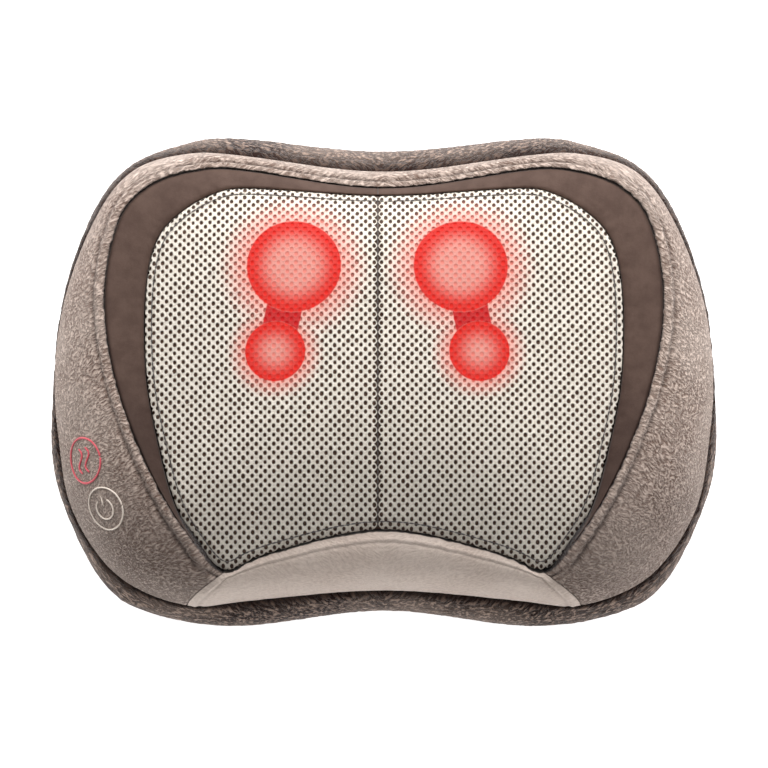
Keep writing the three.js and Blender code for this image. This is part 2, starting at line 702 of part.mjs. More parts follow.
const material = (color, roughness, metalness = 0) => new THREE.MeshStandardMaterial({ color, roughness, metalness });
const MATERIALS = {
  darkPlush: material(0x6d5c55, 0.95),
  plush: material(0xa3938a, 0.95),
  tricot: material(0x6a554d, 0.8),
  mesh: material(0xd8d0c0, 0.85),
  foam: material(0x8f8d88, 0.9),
  housing: material(0x2e2c2b, 0.5),
  gear: material(0xe6e0d0, 0.4),
  node: material(0xe83a30, 0.35),
  spool: material(0xe8e2da, 0.45),
  steel: material(0xb8bbc0, 0.3, 1),
  can: material(0x8d9196, 0.35, 1),
  copper: material(0xb5713c, 0.35, 1),
  bronze: material(0xb08d57, 0.4, 1),
  board: material(0x2f6b45, 0.5),
  lens: material(0xff5a48, 0.15),
  key: material(0x5c524d, 0.6),
  lead: material(0x1c1c1e, 0.5),
};

const massager = new THREE.Group();
function add(name, made, look, x = 0, y = 0, z = 0) {
  const mesh = new THREE.Mesh(geometryOf(made), MATERIALS[look]);
  mesh.name = name;
  mesh.position.set(x, y, z);
  massager.add(mesh);
}

const yoke = stationIndex(YOKE_STATION);
add("rear_cover", rearCover(), "darkPlush");
add("rear_foam", rearFoam(), "foam");
add("bolster_cover", bolsterCover(AROUND - yoke, yoke), "plush");
add("yoke_cover", bolsterCover(yoke, AROUND - yoke), "plush");
add("bolster_foam", bolsterFoam(), "foam");
add("gusset_band", gussetBand(), "tricot");
add("mesh_panel_left", meshPanel(-1), "mesh");
add("mesh_panel_right", meshPanel(1), "mesh");
add("topper_foam", topperFoam(), "foam");

add("housing_rear", rearHousing(), "housing");
add("housing_front", frontHousing(), "housing");
BOSSES.forEach((place, k) => add(`housing_screw_${k + 1}`, housingScrew(place), "steel"));

add("motor_can", motorCan(), "can", 0, 0, DRIVE_Z);
add("motor_end_cap", motorEndCap(), "housing", 0, 0, DRIVE_Z);
add("motor_bracket", motorBracket(), "steel", 0, 0, DRIVE_Z);
add("motor_saddle", motorSaddle(), "housing", 0, 0, DRIVE_Z);
add("motor_shaft", motorShaft(), "steel", 0, 0, DRIVE_Z);
add("armature", armature(), "copper", 0, 0, DRIVE_Z);
add("worm", alongY(worm()), "bronze", 0, HEAD.y, DRIVE_Z);
add("worm_bearing_block", bearingBlock(), "housing", 0, 0, DRIVE_Z);
add("worm_bush", wormBush(), "bronze", 0, 0, DRIVE_Z);

for (const [name, sign] of [["left", -1], ["right", 1]]) {
  const place = [sign * HEAD.x, HEAD.y, 0];
  add(`head_post_${name}`, headPost(), "steel", ...place);
  add(`thrust_washer_${name}`, thrustWasher(), "bronze", ...place);
  add(`worm_wheel_${name}`, wormWheel(sign < 0 ? 0 : 0.5), "gear", ...place);
  add(`node_arm_${name}`, nodeArm(sign), "node", ...place);
  screwPlaces().forEach((at, k) => add(`arm_screw_${name}_${k + 1}`, armScrew(at), "steel", ...place));
  add(`lamp_board_${name}`, lampBoard(), "board", ...place);
  add(`lamp_lens_${name}`, lampLens(), "lens", ...place);
  for (const [size, kind, reach] of [["large", LARGE, LARGE.reach], ["small", SMALL, -SMALL.reach]]) {
    const [dx, dy] = armPlace(sign, reach);
    const at = [place[0] + dx, place[1] + dy, 0];
    add(`${size}_pin_${name}`, nodePin(kind), "steel", ...at);
    add(`${size}_spool_${name}`, nodeSpool(kind), "spool", ...at);
    add(`${size}_node_${name}`, nodeShell(kind), "node", ...at);
  }
}

add("key_pod", keyPod(), "housing");
add("heat_key", key(-1), "key");
add("power_key", key(1), "key");
add("key_board", keyBoard(), "board");
add("control_board", controlBoard(), "board");
add("dc_inlet", dcInlet(), "housing");
add("inlet_lead", inletLead(), "lead");

export default massager;
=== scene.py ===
import json
import math

import bmesh
import bpy
import numpy as np
from mathutils import Matrix, Vector
from mathutils.bvhtree import BVHTree


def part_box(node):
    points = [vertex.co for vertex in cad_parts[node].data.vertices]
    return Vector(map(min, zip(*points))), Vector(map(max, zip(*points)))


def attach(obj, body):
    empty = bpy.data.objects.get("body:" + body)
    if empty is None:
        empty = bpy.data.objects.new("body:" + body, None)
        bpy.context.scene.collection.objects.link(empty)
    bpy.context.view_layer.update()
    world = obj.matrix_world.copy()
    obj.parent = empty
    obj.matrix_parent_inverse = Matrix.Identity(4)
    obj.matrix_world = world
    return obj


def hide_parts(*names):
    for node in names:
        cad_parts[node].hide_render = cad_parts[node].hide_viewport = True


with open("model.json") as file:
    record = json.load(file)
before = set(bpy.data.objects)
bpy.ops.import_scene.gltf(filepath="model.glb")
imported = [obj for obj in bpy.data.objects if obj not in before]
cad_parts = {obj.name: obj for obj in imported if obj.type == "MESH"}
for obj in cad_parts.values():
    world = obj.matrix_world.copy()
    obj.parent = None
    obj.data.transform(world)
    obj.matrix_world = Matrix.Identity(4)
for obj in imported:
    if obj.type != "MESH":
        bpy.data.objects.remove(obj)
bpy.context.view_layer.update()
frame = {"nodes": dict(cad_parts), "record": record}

# ------------------------------------------------------------------ driving dimensions

MM = 0.001  # lengths in this file are in mm unless a line says metres
FLOOR_INSET = 16.0  # the flat back is this much smaller than the widest line
FLANK_INSET = 0.6  # the rear cover's widest ring, drawn in for the pile that stands on it
CROWN = np.array([0.0, 24.0, 134.0])  # top of the mesh dome
CROWN_POWER = 3.0
SEAM = 0.5  # half the groove between two sewn pieces
FRONT_LAY, REAR_LAY = 30, -45  # how the pile lies, in degrees from level towards the middle
MIDDLE_SEAM = -3.6  # the two mesh halves and the band are seamed a little left of the middle
INLET = (198.0, -30.0, 25.0)  # mouth of the supply inlet in the right flank
INLET_HOLE = 10.6
INLET_DEPTH = 12.0  # how far the cover is drawn in round the inlet

# Sewing lines as spline points, from top centre round the +X side to bottom centre, at the same stations.
LINES = {
    "widest": [
        (0, 137.6, 46), (89, 146.8, 44), (122.5, 142.5, 42), (155, 129, 41), (177, 100, 40), (193, 51, 40),
        (198, 2, 38), (200, -41, 37), (192, -77, 36), (168, -123, 35), (137, -141, 34), (84, -148, 34),
        (0, -138, 35),
    ],
    "side": [
        (0, 116.8, 88), (85, 127.8, 84), (118, 129.5, 80), (150, 120.3, 75), (172, 93, 70), (190, 46, 66),
        (196, -2, 63), (193, -42, 60), (185, -82, 57), (158, -120.5, 55), (117, -138, 55), (79, -135, 56),
        (0, -129, 59),
    ],
    "inner": [
        (0, 104, 106), (83, 115, 109), (112, 114, 111), (138, 105, 112), (156, 84, 113), (164, 38, 113),
        (157, -11, 113), (142, -53, 113), (126, -84, 111), (111, -105, 103), (94, -122, 89), (69, -112, 95),
        (0, -98, 102),
    ],
    "mesh": [
        (0, 99, 110), (76, 103, 113), (99, 100, 114), (120, 88, 114), (134, 71, 113), (140, 39, 112),
        (139, -10, 110), (131, -51, 108), (122, -83, 105), (110, -104, 97), (93.4, -120.4, 87.2),
        (68.5, -111.2, 94.2), (0, -97.2, 100.4),
    ],
}
STATIONS = 24
AROUND = 46 * STATIONS  # points on a fine ring, about a millimetre apart
FAIRING = 3  # smoothing passes over each fine ring
FAIRING_REACH = 6  # points to each side that a pass looks at
YOKE_STATION = 10
BAND_STATION = 9

# ------------------------------------------------------------------ numbers and noise


def hashed(i, seed):
    """One repeatable number in 0..1 for each row of whole numbers."""
    h = (i[:, 0] * 73856093) ^ (i[:, 1] * 19349663) ^ (i[:, 2] * 83492791) ^ (seed * 2654435761)
    h = (h ^ (h >> 13)) * 1274126177 & 0x7FFFFFFF
    return ((h ^ (h >> 16)) & 0xFFFF) / 65535.0


def noise(points, seed=0):
    """Smooth value noise in -1..1 at points, which are an (n, 3) array in cells."""
    cell = np.floor(points).astype(np.int64)
    f = points - cell
    f = f * f * (3 - 2 * f)
    total = np.zeros(len(points))
    for corner in range(8):
        step = np.array([corner & 1, corner >> 1 & 1, corner >> 2 & 1])
        weight = np.prod(np.where(step, f, 1 - f), axis=1)
        total += weight * hashed(cell + step, seed)
    return total * 2 - 1


def smooth(x, low, high):
    t = np.clip((x - low) / (high - low), 0, 1)
    return t * t * (3 - 2 * t)


def ridge(x, middle, width):
    return np.exp(-(((x - middle) / width) ** 2))


# ------------------------------------------------------------------ rings of the sewing lines


def ring(name, count=AROUND):
    """A closed spline through a sewing line and its mirror image, from top centre round the -X side."""
    line = np.array(LINES[name], float)
    down = line * [-1, 1, 1]
    control = np.vstack([down, line[-2:0:-1]])
    t = np.arange(count) / count * len(control)
    i = np.floor(t).astype(int)
    f = (t - i)[:, None]
    p0, p1, p2, p3 = (control[(i + k) % len(control)] for k in (-1, 0, 1, 2))
    square, cube = 2 * p0 - 5 * p1 + 4 * p2 - p3, 3 * (p1 - p2) + p3 - p0
    line = 0.5 * (2 * p1 + (p2 - p0) * f + square * f**2 + cube * f**3)
    for _ in range(FAIRING):
        line[:] = (np.roll(line, FAIRING_REACH, 0) + 2 * line + np.roll(line, -FAIRING_REACH, 0)) / 4
    return line


def inset(points, distance, lift=0.0):
    """The ring moved inwards in plan and upwards."""
    along = np.roll(points, -1, 0) - np.roll(points, 1, 0)
    along[:, 2] = 0
    along /= np.linalg.norm(along, axis=1)[:, None]
    return points + np.stack([-along[:, 1] * distance, along[:, 0] * distance, np.full(len(points), lift)], 1)


def at_height(points, z):
    return np.column_stack([points[:, :2], np.full(len(points), z)])


def between(a, b, across, up):
    return np.column_stack([a[:, :2] + (b[:, :2] - a[:, :2]) * across, a[:, 2] + (b[:, 2] - a[:, 2]) * up])


def shoulder(a, b, steps, first=0.0):
    """Rings on a quarter ellipse that leaves ring a upright and comes to ring b level."""
    angles = np.linspace(first, 1, steps + 1) * math.pi / 2
    return [between(a, b, 1 - math.cos(t), math.sin(t)) for t in angles]


WIDEST, SIDE, INNER, MESH_EDGE = (ring(n) for n in ("widest", "side", "inner", "mesh"))
BACK = at_height(inset(WIDEST, FLOOR_INSET), 0)


def station(k):
    return round(k * AROUND / STATIONS)


# ------------------------------------------------------------------ meshes


def make_mesh(name, points, faces, material, body="root", shade=True):
    """A new piece from points in mm and a list or array of faces, riding on a body."""
    mesh = bpy.data.meshes.new(name)
    flat = [list(map(int, f)) for f in faces]
    mesh.from_pydata((np.asarray(points) * MM).tolist(), [], flat)
    mesh.update()
    mesh.materials.append(material)
    mesh.polygons.foreach_set("use_smooth", [shade] * len(mesh.polygons))
    piece = bpy.data.objects.new(name, mesh)
    bpy.context.scene.collection.objects.link(piece)
    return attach(piece, body) if body else piece


def grid_faces(rows, columns, wrap_columns=False, wrap_rows=False):
    r = np.arange(rows if wrap_rows else rows - 1)
    c = np.arange(columns if wrap_columns else columns - 1)
    r, c = (x.ravel() for x in np.meshgrid(r, c, indexing="ij"))
    r2, c2 = (r + 1) % rows, (c + 1) % columns
    return np.stack([r * columns + c, r * columns + c2, r2 * columns + c2, r2 * columns + c], 1)


def grid_normals(grid, wrap):
    """Outward normals of a (rows, columns, 3) grid of points."""
    across = np.gradient(grid, axis=0)
    if wrap:
        along = (np.roll(grid, -1, 1) - np.roll(grid, 1, 1)) / 2
    else:
        along = np.gradient(grid, axis=1)
    n = np.cross(along, across)
    return n / np.maximum(np.linalg.norm(n, axis=2), 1e-9)[..., None]


def arc_lengths(grid):
    """Distance from the first row to each point, going across the rows."""
    steps = np.linalg.norm(np.diff(grid, axis=0), axis=2)
    return np.vstack([np.zeros(grid.shape[1]), np.cumsum(steps, 0)])


APART = 700  # puts the two sides of the pile in different parts of the noise
WANDER = (15, 3)  # size and reach of the slow bends in the lay of the pile
TUFT, FINE_TUFT = 2.1, 1.3  # widths of a tuft
TUFT_STRETCH = 0.72  # share of its length that the noise loses along the lay
LAY_LIFT = 0.15  # how much of the lay points up


def pile(points, height, seed, lay):
    """Height of brushed pile: short tufts lying lay degrees from level, mirrored about the middle."""
    p = points.reshape(-1, 3).copy()
    p[:, 2] += APART * (p[:, 0] > 0)
    p[:, 0] = np.abs(p[:, 0])
    q = p + np.stack([noise(p / WANDER[0] + 9 * k, seed + k) for k in range(3)], 1) * WANDER[1]
    along = np.array([math.cos(math.radians(lay)), -math.sin(math.radians(lay)), LAY_LIFT])
    q -= np.outer(q @ along * TUFT_STRETCH, along)
    tufts = noise(q / TUFT, seed + 5) + 0.6 * noise(q / FINE_TUFT, seed + 6)
    return (tufts * height).reshape(points.shape[:-1])


def stack_mesh(name, rings, material, body="root"):
    """A closed body through a stack of rings, with both ends closed by fans."""
    grid = np.array(rings)
    rows, columns = grid.shape[:2]
    points = np.vstack([grid.reshape(-1, 3), grid[0].mean(0), grid[-1].mean(0)])
    quads = grid_faces(rows, columns, wrap_columns=True).tolist()
    low, high = rows * columns, rows * columns + 1
    for c in range(columns):
        d = (c + 1) % columns
        quads.append([low, d, c])
        quads.append([high, (rows - 1) * columns + c, (rows - 1) * columns + d])
    return make_mesh(name, points, quads, material, body)


def strip_mesh(name, rings, material, body="root"):
    """A closed body whose sections are the rings' points of one column, with flat ends."""
    grid = np.array(rings)
    rows, columns = grid.shape[:2]
    faces = grid_faces(rows, columns, wrap_rows=True).tolist()
    faces.append([r * columns for r in range(rows)])
    faces.append([r * columns + columns - 1 for r in reversed(range(rows))])
    return make_mesh(name, grid.reshape(-1, 3), faces, material, body)


# ------------------------------------------------------------------ material nodes


class Nodes:
    """A short way to write a node tree: each call makes one node and returns its first output."""

    def __init__(self, name):
        self.material = bpy.data.materials.new(name)
        self.material.use_nodes = True
        self.tree = self.material.node_tree
        self.shader = self.tree.nodes["Principled BSDF"]

    def put(self, socket, value):
        if isinstance(value, bpy.types.NodeSocket):
            self.tree.links.new(value, socket)
        else:
            socket.default_value = value

    def node(self, kind, inputs=None, **settings):
        made = self.tree.nodes.new(kind)
        for key, value in settings.items():
            setattr(made, key, value)
        for key, value in (inputs or {}).items():
            self.put(made.inputs[key], value)
        return made

    def math(self, operation, a, b=0.0, c=0.0, clamp=False):
        made = self.node("ShaderNodeMath", {0: a, 1: b}, operation=operation, use_clamp=clamp)
        self.put(made.inputs[2], c)
        return made.outputs[0]

    def vector(self, operation, a, b=(0, 0, 0)):
        made = self.node("ShaderNodeVectorMath", {0: a}, operation=operation)
        if operation == "SCALE":
            self.put(made.inputs[3], b)
        else:
            self.put(made.inputs[1], b)
        return made.outputs[1] if operation in ("LENGTH", "DOT_PRODUCT") else made.outputs[0]

    def mix(self, share, a, b, blend="MIX"):
        made = self.node("ShaderNodeMix", data_type="RGBA", blend_type=blend)
        for socket, value in ((made.inputs[0], share), (made.inputs[6], a), (made.inputs[7], b)):
            self.put(socket, value)
        return made.outputs[2]

    def ramp(self, value, low, high, a=0.0, b=1.0):
        inputs = {0: value, 1: low, 2: high, 3: a, 4: b}
        return self.node("ShaderNodeMapRange", inputs, interpolation_type="SMOOTHSTEP").outputs[0]

    def place(self, target=None):
        made = self.node("ShaderNodeTexCoord")
        if target is not None:
            made.object = target
        return made.outputs["Object"]

    def noise(self, vector, scale, detail=2.0, roughness=0.5):
        inputs = {"Vector": vector, "Scale": scale, "Detail": detail, "Roughness": roughness}
        return self.node("ShaderNodeTexNoise", inputs).outputs[0]

    def bump(self, height, strength, distance, normal=None):
        made = self.node("ShaderNodeBump", {"Height": height, "Strength": strength, "Distance": distance})
        if normal is not None:
            self.put(made.inputs["Normal"], normal)
        return made.outputs[0]

    def set(self, **values):
        for key, value in values.items():
            self.put(self.shader.inputs[key.replace("_", " ")], value)
        return self.material


def colour(r, g, b):
    """An sRGB colour in 0..255 as linear RGBA."""
    def linear(c):
        c /= 255
        return c / 12.92 if c <= 0.04045 else ((c + 0.055) / 1.055) ** 2.4
    return (linear(r), linear(g), linear(b), 1.0)


# the colour of painted shade in grooves, by seams and low down on the covers
PAINTED_SHADE_TONE = colour(44, 28, 25)
PILE_BENDS = (60.0, 0.007)  # scale and reach, in metres, of the bends in the drawn pile


def plush(name, dark, mid, light, lay, low, high, relief, fineness):
    """Short brushed pile, its tufts lying lay degrees from level, mirrored at the middle, with painted shade
    laid on from a per-point attribute.

    low and high are the noise levels that look dark and full: the nearer they are, the furrier it looks.
    fineness is the number of tufts side by side in a metre.
    """
    n = Nodes(name)
    at = n.place()
    parts = n.node("ShaderNodeSeparateXYZ", {0: at})
    depth = n.math("ADD", parts.outputs[2], n.math("GREATER_THAN", parts.outputs[0], 0.0))
    across = n.math("ABSOLUTE", parts.outputs[0])
    folded = n.node("ShaderNodeCombineXYZ", {0: across, 1: parts.outputs[1], 2: depth}).outputs[0]
    bend = n.node("ShaderNodeTexNoise", {"Vector": folded, "Scale": PILE_BENDS[0], "Detail": 2.0}).outputs[1]
    bend = n.vector("SCALE", n.vector("SUBTRACT", bend, (0.5, 0.5, 0.5)), PILE_BENDS[1])
    shifted = n.vector("ADD", folded, bend)
    lean = (0, 0.15, math.radians(lay))
    turned = n.node("ShaderNodeMapping", {"Vector": shifted, "Rotation": lean}).outputs[0]
    stretched = n.node("ShaderNodeMapping", {"Vector": turned, "Scale": (0.3, 1.0, 1.0)}).outputs[0]
    tufts = n.noise(stretched, fineness, 3.0, 0.62)
    height = n.ramp(tufts, low, high)
    sway = n.noise(at, 26.0, 2.0)
    tone = n.mix(height, dark, mid)
    tone = n.mix(n.ramp(tufts, high - 0.06, high + 0.12, 0.0, 0.75), tone, light)
    tone = n.mix(n.ramp(sway, 0.35, 0.65, 0.0, 0.25), tone, light)
    # painted shade: each point's stored share of the dark shade tone
    painted_shade = n.node("ShaderNodeAttribute", attribute_name="painted_shade").outputs["Fac"]
    tone = n.mix(painted_shade, tone, PAINTED_SHADE_TONE)
    n.set(Base_Color=tone, Roughness=0.9, Normal=n.bump(height, 0.8, relief))
    return n.set(Sheen_Weight=0.25, Sheen_Roughness=0.45, Specular_IOR_Level=0.1)


def tricot(name, base, light):
    """Smooth warp-knit cloth: very fine wales with soft blotches, and painted shade laid on from a per-point
    attribute.
    """
    n = Nodes(name)
    at = n.place()
    wales = n.node("ShaderNodeTexWave", {"Vector": at, "Scale": 420.0, "Distortion": 1.5, "Detail": 1.0})
    cloud = n.noise(at, 90.0, 4.0, 0.65)
    fuzz = n.noise(at, 900.0, 2.0)
    tone = n.mix(n.ramp(cloud, 0.3, 0.7), base, light)
    tone = n.mix(n.math("MULTIPLY", fuzz, 0.25), tone, base)
    # painted shade from each point's stored share
    tone = n.mix(n.node("ShaderNodeAttribute", attribute_name="painted_shade").outputs["Fac"], tone, PAINTED_SHADE_TONE)
    relief = n.math("ADD", n.math("MULTIPLY", wales.outputs[1], 0.3), fuzz)
    n.set(Base_Color=tone, Roughness=0.75, Normal=n.bump(relief, 0.25, 0.0004))
    return n.set(Sheen_Weight=0.25, Sheen_Roughness=0.4, Specular_IOR_Level=0.2)


def thread(name, base):
    """Twisted embroidery or sewing thread."""
    n = Nodes(name)
    twist = n.noise(n.place(), 1500.0, 2.0)
    tone = n.mix(n.math("MULTIPLY", twist, 0.12), base, (0.9, 0.85, 0.8, 1))
    return n.set(Base_Color=tone, Roughness=0.5, Sheen_Weight=0.2, Normal=n.bump(twist, 0.4, 0.0002))


def moulded(name, base, roughness, grain=900.0, depth=0.0001, metallic=0.0, coat=0.0):
    """Plastic, metal or rubber: a fine surface grain and a little unevenness of tone."""
    n = Nodes(name)
    at = n.place()
    fine, cloud = n.noise(at, grain, 2.0), n.noise(at, 60.0, 3.0)
    tone = n.mix(n.ramp(cloud, 0.3, 0.7, 0.0, 0.18), base, (0.55, 0.55, 0.55, 1))
    n.set(Base_Color=tone, Roughness=n.ramp(fine, 0.2, 0.8, roughness * 0.85, min(1.0, roughness * 1.15)))
    return n.set(Metallic=metallic, Coat_Weight=coat, Normal=n.bump(fine, 0.4, depth))


def turned_metal(name, base, roughness):
    """Machined metal: fine rings of tool marks round the vertical axis and a soft stain."""
    n = Nodes(name)
    at = n.place()
    marks = n.node("ShaderNodeTexWave", {"Vector": at, "Scale": 700.0, "Distortion": 2.0, "Detail": 2.0},
                   bands_direction="Z").outputs[1]
    stain = n.noise(at, 120.0, 3.0)
    tone = n.mix(n.ramp(stain, 0.4, 0.75, 0.0, 0.25), base, (0.3, 0.28, 0.25, 1))
    n.set(Base_Color=tone, Roughness=n.ramp(stain, 0.3, 0.7, roughness * 0.8, roughness * 1.3))
    return n.set(Metallic=1.0, Normal=n.bump(marks, 0.15, 0.00005))


def cell_foam(name, base, pore):
    """Open-cell foam: small rounded pores."""
    n = Nodes(name)
    cells = n.node("ShaderNodeTexVoronoi", {"Vector": n.place(), "Scale": 900.0}).outputs[0]
    tone = n.mix(n.ramp(cells, 0.1, 0.5), pore, base)
    return n.set(Base_Color=tone, Roughness=0.95, Normal=n.bump(cells, 0.6, 0.0005), Specular_IOR_Level=0.1)


def circuit_board(name, base, trace):
    """Solder mask over copper lanes."""
    n = Nodes(name)
    at = n.place()
    lanes = n.node("ShaderNodeTexBrick", {"Vector": at, "Scale": 220.0, "Mortar Size": 0.12}).outputs[1]
    tone = n.mix(n.math("MULTIPLY", lanes, 0.7), base, trace)
    return n.set(Base_Color=tone, Roughness=0.35, Coat_Weight=0.3, Normal=n.bump(lanes, 0.3, 0.00006))


# ------------------------------------------------------------------ covers


def puckers(along_mm, pitch, seed):
    """Gathers along a seam, as a height in -1..1."""
    line = np.stack([along_mm / pitch, np.zeros_like(along_mm), np.zeros_like(along_mm)], -1).reshape(-1, 3)
    return noise(line, seed).reshape(along_mm.shape)


def ring_distance(points):
    """Distance along a closed ring of points, as an array of the same length."""
    steps = np.linalg.norm(np.roll(points, -1, 0) - points, axis=1)
    return np.concatenate([[0], np.cumsum(steps)[:-1]])


def mark_painted_shade(piece, depth):
    """Stores each shown point's share of the painted shade tone; the hidden points after them get all of it.
    """
    values = np.ones(len(piece.data.vertices))
    values[: depth.size] = depth.ravel()
    piece.data.attributes.new("painted_shade", "FLOAT", "POINT").data.foreach_set("value", values.astype(np.float32))


FLANK_ROWS, UNDER_ROWS, FRONT_ROWS = 44, 40, 74  # rings of the rear flank, of its underside and of the front
SEAM_SHADE = (8.0, 9.0)  # how far the shade by the side seam reaches, and how much further along the top
SEAM_SHADE_DEPTH = 0.85


def rear_cover():
    """The dark plush from the flat back round the flank to the side seam, drawn in round the inlet."""
    seam = inset(SIDE, SEAM, -SEAM)
    flank = inset(WIDEST, FLANK_INSET)
    under = [between(BACK, flank, math.sin(a * math.pi / 2), 1 - math.cos(a * math.pi / 2))
             for a in np.linspace(0, 1, UNDER_ROWS)[:-1]]
    rings = [inset(BACK, 12, 0), inset(BACK, 4, 0), *under, *shoulder(flank, seam, FLANK_ROWS)]
    grid = np.array(rings)
    normal = grid_normals(grid, wrap=True)
    reach = arc_lengths(grid)
    from_seam = reach[-1] - reach
    along = np.broadcast_to(ring_distance(SIDE), reach.shape)
    lift = smooth(grid[..., 2], 1.0, 8.0) * smooth(from_seam, 0.3, 2.5)
    bulge = pile(grid, 0.3, 3, REAR_LAY) + 0.3 * puckers(along, 6.0, 11) * ridge(from_seam, 4.0, 5.0)
    grid = grid + normal * (bulge * lift + 0.6 * lift * ridge(from_seam, 4.0, 4.0))[..., None]
    socket = np.hypot(grid[..., 1] - INLET[1], grid[..., 2] - INLET[2])
    at_socket = (socket < INLET_HOLE) & (grid[..., 0] > 0)
    grid[..., 0] = np.where(at_socket, np.minimum(grid[..., 0], INLET[0] - INLET_DEPTH), grid[..., 0])
    tucked = inset(seam, 4.5, -2.0)
    inside = [inset(WIDEST, 6, 0), inset(BACK, 9, 3)]
    piece = stack_mesh("rear_cover_plush", [*grid, tucked, *inside], REAR_PLUSH)
    # painted shade by the side seam, reaching further along the top
    shaded = SEAM_SHADE[0] + SEAM_SHADE[1] * smooth(grid[..., 1], 0.0, 100.0)
    mark_painted_shade(piece, SEAM_SHADE_DEPTH * smooth(from_seam, shaded, 0.0))
    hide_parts("rear_cover")
    return piece


def bolster_grid(first, last):
    """Points of the front plush between two ring indices, from the side seam up to the inner seam."""
    low, high = inset(SIDE, SEAM, SEAM), inset(INNER, -SEAM)
    grid = np.array(shoulder(low, high, FRONT_ROWS))
    frayed = 0.3 * puckers(ring_distance(INNER), 1.5, 61) + 0.25 * puckers(ring_distance(INNER), 4.0, 62)
    reach = arc_lengths(grid)
    near = smooth(reach[-1] - reach, 3.5, 0.0)
    away = inset(INNER, 1.0) - INNER
    grid = grid + away[None] * (frayed[None] * near)[..., None]
    tuck = np.array([grid[-1] - away * 0.5 - [0, 0, d] for d in (1.2, 2.6)])
    index = np.arange(first, last + 1) % AROUND
    return np.concatenate([grid, tuck])[:, index], index


WING_SHADE = 0.28  # painted shade: how far the lower wings are painted towards the dark shade tone
BAND_SHADE = 0.5  # and the lower ends of the band


def front_bolster():
    """The light plush of both wings and the top, with a bead and a groove beside the inner seam, and painted
    shade in the groove, by both seams and over the lower wings.
    """
    end = station(YOKE_STATION)
    grid, index = bolster_grid(-end, end)
    normal = grid_normals(grid, wrap=False)
    reach = arc_lengths(grid)
    from_inner = reach[-3] - reach
    along = np.broadcast_to(ring_distance(INNER)[index], reach.shape)
    share = np.abs(np.arange(len(index)) / (len(index) - 1) - 0.5) * 2  # 0 at top centre, 1 at a wing's tip
    bead = smooth(share, 0.15, 0.45) * smooth(1 - share, 0.0, 0.07)
    soft = smooth(reach, 0.3, 2.5) * smooth(from_inner, -1.0, 1.2)
    shape = pile(grid, 0.1, 21, FRONT_LAY) * (0.3 + 0.7 * bead)
    shape += 0.4 * puckers(along, 2.1, 31) * ridge(from_inner, 2.5, 4.0) * (0.3 + 0.7 * bead)
    shape += bead * (1.1 * ridge(from_inner, 3.2, 2.8) - 1.0 * ridge(from_inner, 7.2, 1.2))
    shape += (1 - bead) * (0.8 * ridge(from_inner, 8.0, 3.5) - 0.9 * ridge(from_inner, 4.2, 0.9))
    shape += 0.6 * ridge(reach, 4.0, 4.0)
    grid = grid + normal * (shape * soft)[..., None]
    # painted shade: in the grooves, at both seams and over the lower wings
    painted_shade_share = 0.42 * bead * ridge(from_inner, 7.2, 1.5) + 0.5 * (1 - bead) * ridge(from_inner, 4.2, 0.8)
    painted_shade_share += 0.7 * smooth(from_inner, 1.2, -0.5) + 0.5 * smooth(reach, 3.5, 0.0)
    painted_shade_share += WING_SHADE * smooth(-grid[..., 1], 10.0, 100.0)
    piece = wrapped_strip("front_bolster_plush", grid, index, FRONT_PLUSH, "bolster_cover")
    mark_painted_shade(piece, np.clip(painted_shade_share, 0, 0.9))
    return piece


def wrapped_strip(name, grid, index, material, node):
    """A padded cover from its shown grid of points, closed at the back inside the foam."""
    low, high = inset(SIDE, 4, 1)[index], inset(INNER, 3, -6)[index]
    back = [between(high, low, t, t) for t in (0.0, 0.5, 1.0)]
    piece = strip_mesh(name, [*grid, *back], material)
    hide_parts(node)
    return piece


def lower_yoke():
    """The smooth plush between the wing tips, with a faint bead inside its edge."""
    end = station(YOKE_STATION)
    grid, index = bolster_grid(end + 1, AROUND - end - 1)
    normal = grid_normals(grid, wrap=False)
    reach = arc_lengths(grid)
    from_inner = reach[-3] - reach
    steps = np.linalg.norm(np.diff(grid, axis=1), axis=2)
    run = np.hstack([np.zeros((len(grid), 1)), np.cumsum(steps, 1)])
    from_end = np.minimum(run, run[:, -1:] - run)
    edge = np.minimum(from_inner, from_end * 0.75 + 1.0)
    soft = smooth(reach, 0.3, 2.5) * smooth(from_inner, -1.0, 1.0)
    shape = pile(grid, 0.1, 41, -FRONT_LAY)
    shape += 0.4 * ridge(edge, 4.4, 1.2) - 0.45 * ridge(edge, 6.4, 1.0)
    shape += 0.6 * ridge(reach, 4.0, 4.0)
    grid = grid + normal * (shape * soft)[..., None]
    piece = wrapped_strip("lower_yoke_plush", grid, index, YOKE_PLUSH, "yoke_cover")
    # painted shade: in the groove inside the bead and at both seams
    painted_shade_share = 0.12 * ridge(edge, 6.4, 1.0)
    painted_shade_share = painted_shade_share + 0.5 * smooth(reach, 3.5, 0.0) + 0.6 * smooth(from_inner, 1.0, -0.5)
    mark_painted_shade(piece, np.clip(painted_shade_share, 0, 0.9))
    return piece


